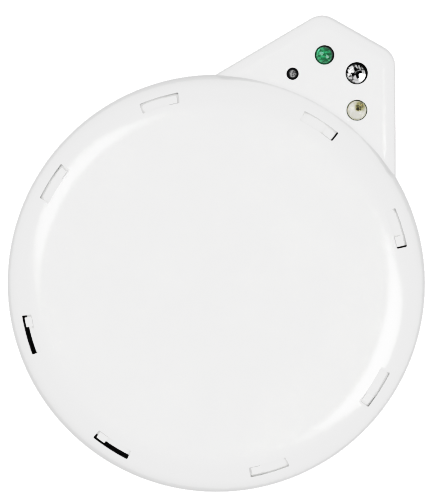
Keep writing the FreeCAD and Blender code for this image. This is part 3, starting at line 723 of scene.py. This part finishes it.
def window_tool(sizes, first):
    """The tool that opens one window: a slot bent round the disc, with a flared mouth where it meets the
    rolled edge. The edge is as high as its axis plus the root of its radius squared less the square of
    the distance out from the axis."""
    middle_radius = (sizes.window_inner + sizes.window_outer) / 2
    half_width = (sizes.window_outer - sizes.window_inner) / 2
    half_length = sizes.window_span / 2 * middle_radius
    roll_centre, roll_foot = roll_axis(sizes)
    rings = []
    for spread, lift in zip(*flare(sizes.mouth_round)):
        loop = slot_loop(half_length + spread, half_width + spread, WINDOW_CORNER + spread)
        radius = middle_radius + loop[:, 1]
        turn = first + sizes.window_span / 2 + loop[:, 0] / middle_radius
        rolled = roll_foot + np.sqrt(sizes.roll_radius**2 - (radius - roll_centre) ** 2)
        rings.append(around(radius, turn, rolled + lift))
    lowest, highest = rings[0].copy(), rings[-1].copy()
    lowest[:, 2] = WINDOW_FLOOR
    highest[:, 2] = sizes.face_height + 1 * MM
    return skin([lowest, *rings, highest])


def hole_tool(sizes, place, radius):
    """The tool for a round hole through the lobe's face: its wall and its flared mouth, turned about the
    hole's axis."""
    spreads, lifts = flare(sizes.hole_round)
    mouth = np.stack([radius + spreads, sizes.lobe_height + lifts], axis=-1)
    over = sizes.lobe_height + 1 * MM
    foot = [[0, HOLE_FLOOR], [radius, HOLE_FLOOR]]
    return lathe(np.vstack([foot, mouth, [mouth[-1, 0], over], [0, over]]), place, columns=64)


def centre_of(low, high):
    """The middle of a box, seen from above."""
    return (low.x + high.x) / 2, (low.y + high.y) / 2


def sector(inner, outer, low, high, start, reach, steps=12):
    """A block bent round the disc: its rectangular section goes from angle start over reach."""
    turn = start + np.linspace(0.0, reach, steps)
    section = np.array([[inner, low], [outer, low], [outer, high], [inner, high]])
    radius, height = section[:, 0], section[:, 1]
    return skin(around(radius, turn[:, None], height))


def post(place, radius, low, high):
    """A round post: a circle of this radius raised from low to high."""
    return lathe([[0, low], [radius, low], [radius, high], [0, high]], place, columns=48)


def shell_posts(sizes):
    """What stands inside the shell: the bosses for the inner cover's screws, the pins that hold the
    lobe's board, the sleeve round the lobe's screw, the button's guide and the lock tabs."""
    board_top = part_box("main_board")[1].z
    small_board_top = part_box("head_board")[1].z
    switch_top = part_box("button_switch")[1].z
    face = sizes.face_height - sizes.shell_wall / 2
    lobe_face = sizes.lobe_height - sizes.shell_wall / 2
    made = []
    for turn in np.radians(BOSS_ANGLES):
        place = BOSS_CIRCLE * math.cos(turn), BOSS_CIRCLE * math.sin(turn)
        made.append(post(place, BOSS_RADIUS, board_top, face))
    for side in (-1, 1):
        made.append(post((side * PIN_ASIDE, PIN_ALONG), PIN_RADIUS, small_board_top, lobe_face))
    made.append(post(centre_of(screw_low, screw_high), SLEEVE_RADIUS, small_board_top, lobe_face))
    made.append(post(centre_of(button_low, button_high), GUIDE_RADIUS, switch_top + GUIDE_GAP, lobe_face))
    skirt = sizes.disc_radius - sizes.shell_wall / 2
    for index, first in enumerate(window_starts):
        if index // 2 != OPEN_PAIR:
            start = first + TAB_LEAD
            made.append(sector(TAB_INNER, skirt, TAB_LOW, TAB_LOW + TAB_THICKNESS, start, TAB_REACH))
    return together(*made)


class SENSOR_OT_housing(bpy.types.Operator):
    """Makes the white shell with its rolled edge, lobe, windows and holes"""

    bl_idname = "sensor.housing"
    bl_label = "Front housing"

    def execute(self, context):
        sizes, finishes = context.scene.sensor_sizes, context.scene.sensor_finishes
        shell = mesh_object("shell", shell_outside(sizes))
        combine(shell, shell_hollow(sizes), "DIFFERENCE")
        combine(shell, shell_posts(sizes), "UNION")
        holes = (
            (lamp_low, lamp_high, LAMP_HOLE),
            (cell_low, cell_high, CELL_HOLE),
            (button_low, button_high, BUTTON_HOLE),
            (screw_low, screw_high, SCREW_HOLE),
        )
        tools = [window_tool(sizes, first) for first in window_starts]
        tools += [hole_tool(sizes, centre_of(low, high), radius) for low, high, radius in holes]
        combine(shell, together(*tools), "DIFFERENCE")
        gloss = finishes.housing_roughness
        white = finish("housing_white", finishes.housing, gloss, 0.012, 18, 0.3, 0.0025, **MILKY)
        # Painted shade in the valley beside the lobe and on the shell's steep sides
        paint_valley_shade(white)
        paint_skirt_shade(white, sizes.window_outer + 1 * MM)
        dress(shell, white, "sensor_head", ["front_housing"], 40.0)
        return {"FINISHED"}


# The small pieces


def foot_round(radius, foot, rounding):
    """The rounded lower corner of a profile."""
    return arc(radius - rounding, foot + rounding, rounding, -90, 0, 3)


def top_round(radius, top, rounding, steps=5):
    """The rounded upper corner of a profile."""
    return arc(radius - rounding, top - rounding, rounding, 0, 90, steps)


def root_round(radius, ledge, rounding):
    """The hollow corner of a profile, where it rises from a ledge."""
    return arc(radius + rounding, ledge + rounding, rounding, 270, 180, 4)


def square(half):
    """The corners of a square."""
    return np.array([[-half, -half], [half, -half], [half, half], [-half, half]])


def spun(outline, turn):
    """An outline (n x 2) turned anticlockwise about the origin."""
    cosine, sine = math.cos(turn), math.sin(turn)
    return outline @ np.array([[cosine, sine], [-sine, cosine]])


def upright(shape, place):
    """A prism laid down and stood on its edge: its outline's second axis becomes the height, its own
    height the depth."""
    points, faces = shape
    return np.stack([place[0] + points[:, 0], place[1] + points[:, 2], points[:, 1]], axis=-1), faces


def wire(points, radius, sides=10):
    """A round wire: a circle square to the path at each of its points."""
    points = np.asarray(points, float)
    along = np.gradient(points, axis=0)
    along /= np.linalg.norm(along, axis=1, keepdims=True)
    side = np.cross(along, [0.0, 1.0, 0.05])
    side /= np.linalg.norm(side, axis=1, keepdims=True)
    other = np.cross(along, side)
    turn = np.linspace(0, 2 * math.pi, sides, endpoint=False)
    ring = np.cos(turn)[:, None, None] * side + np.sin(turn)[:, None, None] * other
    return skin((points + radius * ring).transpose(1, 0, 2))


def bow(start, end, rise, steps=16):
    """Points of a wire that rises from start and comes down to end as a parabola."""
    gone = np.linspace(0.0, 1.0, steps)[:, None]
    path = np.asarray(start) * (1 - gone) + np.asarray(end) * gone
    path[:, 2] += 4 * rise * (gone * (1 - gone))[:, 0]
    return path


class SENSOR_OT_lamp(bpy.types.Operator):
    """Makes the green status lamp: a tinted epoxy body with a round head, and its lead frame inside"""

    bl_idname = "sensor.lamp"
    bl_label = "Status lamp"

    def execute(self, context):
        finishes = context.scene.sensor_finishes
        place = centre_of(lamp_low, lamp_high)
        low, high = lamp_low.z, lamp_high.z
        flange, ledge = (lamp_high.x - lamp_low.x) / 2, low + LAMP_FLANGE
        foot = foot_round(flange, low, 0.1 * MM)
        rim = top_round(flange, ledge, 0.15 * MM, 4)
        root = root_round(LAMP_RADIUS, ledge, 0.2 * MM)
        head = arc(0, high - LAMP_RADIUS, LAMP_RADIUS, 0, 90, 22)[:-1]
        profile = np.vstack([[0, low], foot, rim, root, head, [0, high]])
        body = mesh_object("lamp_body", lathe(profile, place, 96))
        glassy = {"Transmission_Weight": 0.6, "IOR": 1.52, "Coat_Weight": 0.3}
        # Painted highlights: the strong colour drift and the lighter patches stand in for glints seen
        # inside the epoxy
        epoxy = finish("lamp_epoxy", finishes.lamp, 0.08, 0.45, 0.55, 0.2, 0.0006, **glassy)
        paint_patches(epoxy, 0.75, LAMP_PAINTED_GLINTS)
        # Painted shadow: a near-black crescent on one side of the lamp's rim
        paint_beyond(epoxy, from_photo(place, -0.3, -0.3), 2.35, 0.15, LAMP_RIM_SHADOW)
        dress(body, epoxy, "sensor_head", ["status_led"], 50.0)
        cup_place, cup_foot = (place[0] - LAMP_CUP_ASIDE, place[1]), low + LAMP_CUP_RISE
        chip_foot, chip_top = cup_foot + 0.3 * MM, cup_foot + 0.55 * MM
        bond_end = (place[0] + LAMP_BOND_ASIDE, place[1], low + LAMP_BOND_RISE)
        inside = mesh_object(
            "lamp_lead_frame",
            together(
                upright(prism(LAMP_ANVIL, -LEAD_HALF_THICKNESS, LEAD_HALF_THICKNESS), place),
                upright(prism(LAMP_POST, -LEAD_HALF_THICKNESS, LEAD_HALF_THICKNESS), place),
                lathe(LAMP_CUP + [0, cup_foot], cup_place, 48),
                prism(square(0.17 * MM) + cup_place, chip_foot, chip_top),
                wire(bow((*cup_place, chip_top), bond_end, 0.6 * MM), 0.03 * MM),
            ),
        )
        metal = finish("lead_frame", (0.75, 0.75, 0.72), 0.22, 0.06, 1, 0.1, 0.001, Metallic=1.0)
        dress(inside, metal, "sensor_head")
        return {"FINISHED"}


class SENSOR_OT_cell(bpy.types.Operator):
    """Makes the light cell: a clear round head over an ivory cup that holds the dark chip and its wire"""

    bl_idname = "sensor.cell"
    bl_label = "Light cell"

    def execute(self, context):
        finishes = context.scene.sensor_finishes
        place = centre_of(cell_low, cell_high)
        radius = (cell_high.x - cell_low.x) / 2
        low, high = cell_low.z, cell_high.z
        foot = foot_round(radius, low, 0.1 * MM)
        head = arc(0, high - radius, radius, 0, 90, 24)[:-1]
        lens = mesh_object("cell_lens", lathe(np.vstack([[0, low], foot, head, [0, high]]), place, 96))
        glassy = {"Transmission_Weight": 1.0, "IOR": 1.5}
        clear = finish("cell_epoxy", (0.99, 0.985, 0.95), 0.04, 0.005, 1, 0.2, 0.0003, **glassy)
        dress(lens, clear, "sensor_head", ["light_cell_lens"], 50.0)
        well = low + 0.1 * MM
        cup_profile = np.vstack([CELL_CUP_FOOT + [0, cup_low.z], CELL_CUP_DISH + [0, well]])
        cup = mesh_object("cell_cup", lathe(cup_profile, place, 80))
        waxy = MILKY | {"Subsurface_Scale": 0.4 * MM, "Subsurface_Radius": (1, 1, 0.8)}
        ivory = finish("cell_ivory", finishes.cell_cup, 0.4, 0.05, 0.8, 0.1, 0.003, **waxy)
        # Painted shade: an olive patch off the middle of the cup, and a grey band of painted shade along
        # one side of its rim
        paint_beyond(ivory, from_photo(place, 0.5, 0.65), 0.85, -0.35, CELL_SHADE, 0.5, 0.45)
        paint_beyond(ivory, from_photo(place, 0.35, -0.25), 2.0, 0.2, CELL_RIM_SHADE)
        dress(cup, ivory, "sensor_head", ["light_cell_frame"])
        chip_place, chip_top = from_photo(place, 0.2, 0.25), well + 0.2 * MM
        chip_outline = spun(square(0.3 * MM), CELL_CHIP_TURN) + chip_place
        chip = mesh_object("cell_chip", prism(chip_outline, well - 0.05 * MM, chip_top))
        dark = finish("cell_silicon", (0.33, 0.31, 0.16), 0.3, 0.25, 0.3, 0.1, 0.0006)
        paint_beyond(dark, chip_place, 0.24, -0.06, CELL_CHIP_MIDDLE)
        dress(chip, dark, "sensor_head", ["light_cell_die"], 20.0)
        bond_start = (*from_photo(chip_place, 0.3, 0.3), chip_top)
        bond_end = (*from_photo(place, 1.2, 1.2), well + 0.3 * MM)
        bond = mesh_object("cell_wire", wire(bow(bond_start, bond_end, 0.3 * MM), 0.02 * MM))
        gold = finish("cell_gold", (0.83, 0.62, 0.25), 0.2, 0.05, 1, 0.1, 0.0005, Metallic=1.0)
        dress(bond, gold, "sensor_head")
        return {"FINISHED"}


class SENSOR_OT_button(bpy.types.Operator):
    """Makes the small setup button: a black plunger with a narrower dished top"""

    bl_idname = "sensor.button"
    bl_label = "Setup button"

    def execute(self, context):
        finishes = context.scene.sensor_finishes
        place = centre_of(button_low, button_high)
        low, high = button_low.z, button_high.z
        radius, ledge = (button_high.x - button_low.x) / 2, high - BUTTON_TOP_RISE
        foot = foot_round(radius, low, 0.1 * MM)
        shoulder = top_round(radius, ledge, 0.15 * MM)
        root = root_round(BUTTON_TOP_RADIUS, ledge, 0.12 * MM)
        lip = top_round(BUTTON_TOP_RADIUS, high, 0.12 * MM)
        profile = np.vstack([[0, low], foot, shoulder, root, lip, BUTTON_DISH + [0, high]])
        plunger = mesh_object("button_plunger", lathe(profile, place, 72))
        black = finish("button_satin", finishes.button, 0.35, 0.2, 0.5, 0.12, 0.004)
        # Painted sheen: a mottled lighter grey over the button's narrower top
        paint_beyond(black, place, 0.98, -0.1, finishes.button_top_sheen, 0.85, 0.5)
        dress(plunger, black, "setup_button", ["config_button"], 40.0)
        return {"FINISHED"}


def cross_tool(place, top):
    """The tool for a cross recess: four-armed outlines that get shorter and narrower with depth."""
    rings = []
    for rise, reach, half in CROSS_LEVELS:
        shoulder, tip = reach - CROSS_CHAMFER, half * CROSS_TIP
        arm = np.array([[half, half], [shoulder, half], [reach, tip], [reach, -tip], [shoulder, -half]])
        arms = [spun(arm, CROSS_TURN - quarter * math.pi / 2) for quarter in range(4)]
        loop = np.vstack(arms) + place
        rings.append(np.column_stack([loop, np.full(len(loop), top + rise)]))
    return skin(np.stack(rings))


def thread(place, low, high, rows=220, columns=40):
    """A screw's thread: the root's radius plus a flat-topped ridge that climbs one pitch each turn, all
    narrowed towards the point."""
    height = np.linspace(low + 0.05 * MM, high, rows)[:, None]
    turn = np.linspace(0, 2 * math.pi, columns, endpoint=False)[None, :]
    phase = (height / THREAD_PITCH - turn / (2 * math.pi)) % 1.0
    ridge = np.clip(1.4 * (1 - np.abs(2 * phase - 1)) - 0.2, 0, 1)
    taper = np.clip((height - low) / THREAD_POINT, 0.35, 1.0)
    reach = (THREAD_ROOT + THREAD_DEPTH * ridge) * taper
    return skin(around(reach, turn, height, place), (*place, low))


class SENSOR_OT_screw(bpy.types.Operator):
    """Makes the bright pan-head screw of the lobe, with its tapered cross recess and rolled thread"""

    bl_idname = "sensor.screw"
    bl_label = "Lobe screw"

    def execute(self, context):
        finishes = context.scene.sensor_finishes
        place = centre_of(screw_low, screw_high)
        radius = (screw_high.x - screw_low.x) / 2
        top, seat = screw_high.z, screw_high.z - SCREW_HEAD_HEIGHT
        edge = radius - SCREW_ROUNDING
        rim_centre = top - (SCREW_CROWN - math.sqrt(SCREW_CROWN**2 - edge**2)) - SCREW_ROUNDING
        lean = math.degrees(math.asin(edge / SCREW_CROWN))
        rim = arc(edge, rim_centre, SCREW_ROUNDING, 0, 90 - lean, 8)
        reach = np.linspace(edge, 0, 12)
        crown = top - SCREW_CROWN + np.sqrt(SCREW_CROWN**2 - reach**2)
        crown -= (crown[0] - rim[-1, 1]) * (reach / edge)
        face = np.stack([reach, crown], axis=-1)
        foot = foot_round(radius, seat, 0.12 * MM)
        profile = np.vstack([[0, seat], foot, rim, face[1:]])
        head = mesh_object("screw_head", lathe(profile, place, 96))
        combine(head, cross_tool(place, top), "DIFFERENCE")
        bright = finish("screw_chrome", finishes.screw, 0.1, 0.03, 0.6, 0.12, 0.0008, Metallic=1.0)
        # Painted shade in the cross recess; the head's own colour is painted back past 1.95 mm so the rim
        # stays bright
        paint_below(bright, top - 0.35 * MM, 0.1 * MM, RECESS_SHADE)
        paint_beyond(bright, place, 1.95, 0.1, finishes.screw)
        # Painted reflections: mottled dark and bright patches over one side of the head
        paint_beyond(bright, from_photo(place, 1.3, -1.3), 2.1, 0.3, PLATING_REFLECTIONS, 0.97, 0.5)
        # Painted shadow: a dark crescent on one side of the head's rim
        paint_beyond(bright, from_photo(place, -0.3, -0.3), 2.62, 0.08, PLATING_RIM_SHADOW)
        dress(head, bright, "sensor_head", ["lobe_screw"], 28.0)
        shank = mesh_object("screw_thread", thread(place, screw_low.z, seat + 0.3 * MM))
        dress(shank, bright, "sensor_head", (), 40.0)
        return {"FINISHED"}


class SENSOR_OT_finishes(bpy.types.Operator):
    """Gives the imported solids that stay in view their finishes"""

    bl_idname = "sensor.finishes"
    bl_label = "Finishes of the solids"

    def execute(self, context):
        finishes = context.scene.sensor_finishes
        plain = (
            ("board_green", (0.012, 0.11, 0.05), 0.3, 0.15, 4, 0.5, 0.01),
            ("button_black", finishes.button, 0.3, 0.1, 2, 0.1, 0.002),
            ("switch_black", (0.02, 0.02, 0.02), 0.5, 0.1, 2, 0.1, 0.003),
            ("led_green", finishes.lamp, 0.1, 0.1, 1, 0.1, 0.001),
            ("lens_clear", (0.97, 0.96, 0.88), 0.06, 0.01, 1, 0.1, 0.0005),
            ("die_dark", (0.03, 0.03, 0.02), 0.2, 0.2, 0.4, 0.1, 0.001),
            ("frame_ivory", finishes.cell_cup, 0.45, 0.05, 1, 0.1, 0.003),
            ("ribbon_white", (0.75, 0.75, 0.72), 0.4, 0.03, 3, 0.2, 0.002),
            ("socket_ivory", (0.74, 0.71, 0.6), 0.45, 0.03, 3, 0.2, 0.003),
            ("terminal_green", (0.02, 0.24, 0.07), 0.45, 0.06, 3, 0.2, 0.004),
            ("chip_black", (0.02, 0.02, 0.021), 0.6, 0.15, 1, 0.12, 0.006),
            ("ferrite_grey", (0.07, 0.07, 0.075), 0.7, 0.2, 1, 0.15, 0.01),
        )
        metals = (
            ("spring_steel", (0.7, 0.7, 0.68), 0.2, 0.05, 2, 0.1, 0.001),
            ("lead_steel", (0.72, 0.72, 0.7), 0.3, 0.05, 2, 0.1, 0.002),
            ("screw_bright", finishes.screw, 0.12, 0.02, 1, 0.1, 0.0008),
            ("screw_steel", (0.6, 0.6, 0.6), 0.3, 0.05, 1, 0.1, 0.002),
            ("can_aluminium", (0.7, 0.71, 0.73), 0.28, 0.04, 1, 0.2, 0.002),
        )
        made = {row[0]: finish(*row) for row in plain}
        made |= {row[0]: finish(*row, Metallic=1.0) for row in metals}
        made["plate_white"] = finish("plate_white", finishes.plate, 0.4, 0.012, 18, 0.3, 0.003, **MILKY)
        made["housing_white"] = finish("cover_white", finishes.housing, 0.4, 0.012, 18, 0.3, 0.003)
        # Painted shade: the inner cover is near-black and nearly without gloss, standing in for the deep
        # shade seen through the open pair of windows
        dull = {"Specular_IOR_Level": 0.15}
        made["inner_grey"] = finish("inner_grey", (0.008, 0.008, 0.009), 0.7, 0.1, 10, 0.3, 0.006, **dull)
        slots = {part["node"]: part["material_slot"] for part in frame["record"]["subparts"]}
        for name, solid in frame["nodes"].items():
            solid.material_slots[0].material = made[slots[name]]
        return {"FINISHED"}


# Studio


def aim(made, back, up, place):
    """Puts a camera or light at a place, facing against back, with up as near to the given one as it can
    be."""
    back = back.normalized()
    right = up.cross(back).normalized()
    turned = Matrix((right, back.cross(right), back)).transposed().to_4x4()
    made.matrix_world = Matrix.Translation(place) @ turned


def softbox(name, lean, photo_angle, width, height, power):
    """A rectangular light that leans from the upright by an angle, towards an angle of the photograph."""
    lamp = bpy.data.lights.new(name, "AREA")
    lamp.shape = "RECTANGLE"
    lamp.size, lamp.size_y = width, height
    lamp.energy = power
    made = bpy.data.objects.new(name, lamp)
    bpy.context.scene.collection.objects.link(made)
    turn = math.radians(photo_angle) + PHOTO_TURN
    tilt = math.radians(lean)
    back = Vector((math.sin(tilt) * math.cos(turn), math.sin(tilt) * math.sin(turn), math.cos(tilt)))
    aim(made, back, Vector((0, 0, 1)), back * SOFTBOX_DISTANCE)


def print_tones(view):
    """Shows scene light in pale printed tones: a curve maps each amount of light to the tone shown."""
    view.view_transform = "Standard"
    view.use_curve_mapping = True
    points = view.curve_mapping.curves[3].points
    for light, shown in zip(PRINT_LIGHTS, PRINT_TONES):
        points.new(light, shown)
    for point in points:
        point.handle_type = "AUTO_CLAMPED"
    view.curve_mapping.update()


def paper_floor(tone):
    """A floor that the camera sees as white and that other rays see in this tone."""
    mesh = bpy.data.meshes.new("studio_floor")
    corners = FLOOR_REACH * square(1.0)
    mesh.from_pydata([(x, y, FLOOR_LEVEL) for x, y in corners], [], [(0, 1, 2, 3)])
    floor = bpy.data.objects.new("studio_floor", mesh)
    bpy.context.scene.collection.objects.link(floor)
    dull = {"Specular_IOR_Level": 0.1, "Emission_Color": (1, 1, 1, 1)}
    paper = finish("floor_paper", tone, 0.9, 0.004, 400, 4, 0.01, **dull)
    tree = paper.node_tree
    glow = span(tree, node(tree, "LightPath", {}).outputs["Is Camera Ray"], 0.0, FLOOR_GLOW)
    tree.links.new(glow, tree.nodes["Principled BSDF"].inputs["Emission Strength"])
    mesh.materials.append(paper)
    return floor


def pale_sky():
    """A grey sky that gets a little darker from the floor to overhead."""
    world = bpy.data.worlds.new("studio_sky")
    world.use_nodes = True
    tree = world.node_tree
    direction = node(tree, "TexCoord", {}).outputs["Generated"]
    ramp = node(tree, "ValToRGB", {"Fac": parts(tree, direction)["Z"]})
    stops = ramp.color_ramp.elements
    for stop, grey in zip(stops, SKY_ENDS):
        stop.color = (grey, grey, grey, 1)
    for position, grey in SKY_BETWEEN:
        stops.new(position).color = (grey, grey, grey, 1)
    background = tree.nodes["Background"].inputs
    tree.links.new(ramp.outputs["Color"], background["Color"])
    background["Strength"].default_value = SKY_STRENGTH
    return world


def photo_camera():
    """A camera that looks almost straight at the face, with the photograph's up, from far enough to see
    the view's width."""
    camera = bpy.data.objects.new("camera", bpy.data.cameras.new("camera"))
    bpy.context.scene.collection.objects.link(camera)
    camera.data.lens, camera.data.sensor_width = LENS, SENSOR_WIDTH
    camera.data.clip_start = 0.01
    right = Vector((math.cos(PHOTO_TURN), math.sin(PHOTO_TURN), 0))
    up = Vector((-math.sin(PHOTO_TURN), math.cos(PHOTO_TURN), 0))
    back = Vector((0, 0, 1)) + (right + up) * (math.tan(VIEW_LEAN) / math.sqrt(2))
    back.normalize()
    aim(camera, back, up, VIEW_TARGET + back * (VIEW_WIDTH * LENS / SENSOR_WIDTH))
    return camera


class SENSOR_OT_stage(bpy.types.Operator):
    """Makes the pale floor, the soft lights, the sky and the camera"""

    bl_idname = "sensor.stage"
    bl_label = "Studio"

    def execute(self, context):
        scene = context.scene
        print_tones(scene.view_settings)
        floor = paper_floor(scene.sensor_finishes.floor)
        scene.world = pale_sky()
        for light in SOFTBOXES:
            softbox(*light)
        scene.camera = photo_camera()
        return {"FINISHED"}


class SENSOR_PT_panel(bpy.types.Panel):
    """Lists the steps that dress the sensor"""

    bl_idname = "SENSOR_PT_panel"
    bl_label = "Light sensor"
    bl_space_type = "VIEW_3D"
    bl_region_type = "UI"
    bl_category = "Sensor"

    def draw(self, context):
        for operator in operators:
            self.layout.operator(operator.bl_idname)


operators = (
    SENSOR_OT_stage,
    SENSOR_OT_finishes,
    SENSOR_OT_housing,
    SENSOR_OT_lamp,
    SENSOR_OT_cell,
    SENSOR_OT_button,
    SENSOR_OT_screw,
)
classes = (SensorSizes, SensorFinishes, *operators, SENSOR_PT_panel)


def register():
    """Registers the classes and puts the settings on the scene."""
    for item in classes:
        bpy.utils.register_class(item)
    bpy.types.Scene.sensor_sizes = PointerProperty(type=SensorSizes)
    bpy.types.Scene.sensor_finishes = PointerProperty(type=SensorFinishes)


def unregister():
    """Takes the settings and the classes off again."""
    del bpy.types.Scene.sensor_finishes
    del bpy.types.Scene.sensor_sizes
    for item in reversed(classes):
        bpy.utils.unregister_class(item)


def main():
    """Runs every step."""
    register()
    for operator in operators:
        group, action = operator.bl_idname.split(".")
        getattr(getattr(bpy.ops, group), action)()


if __name__ == "__main__":
    main()
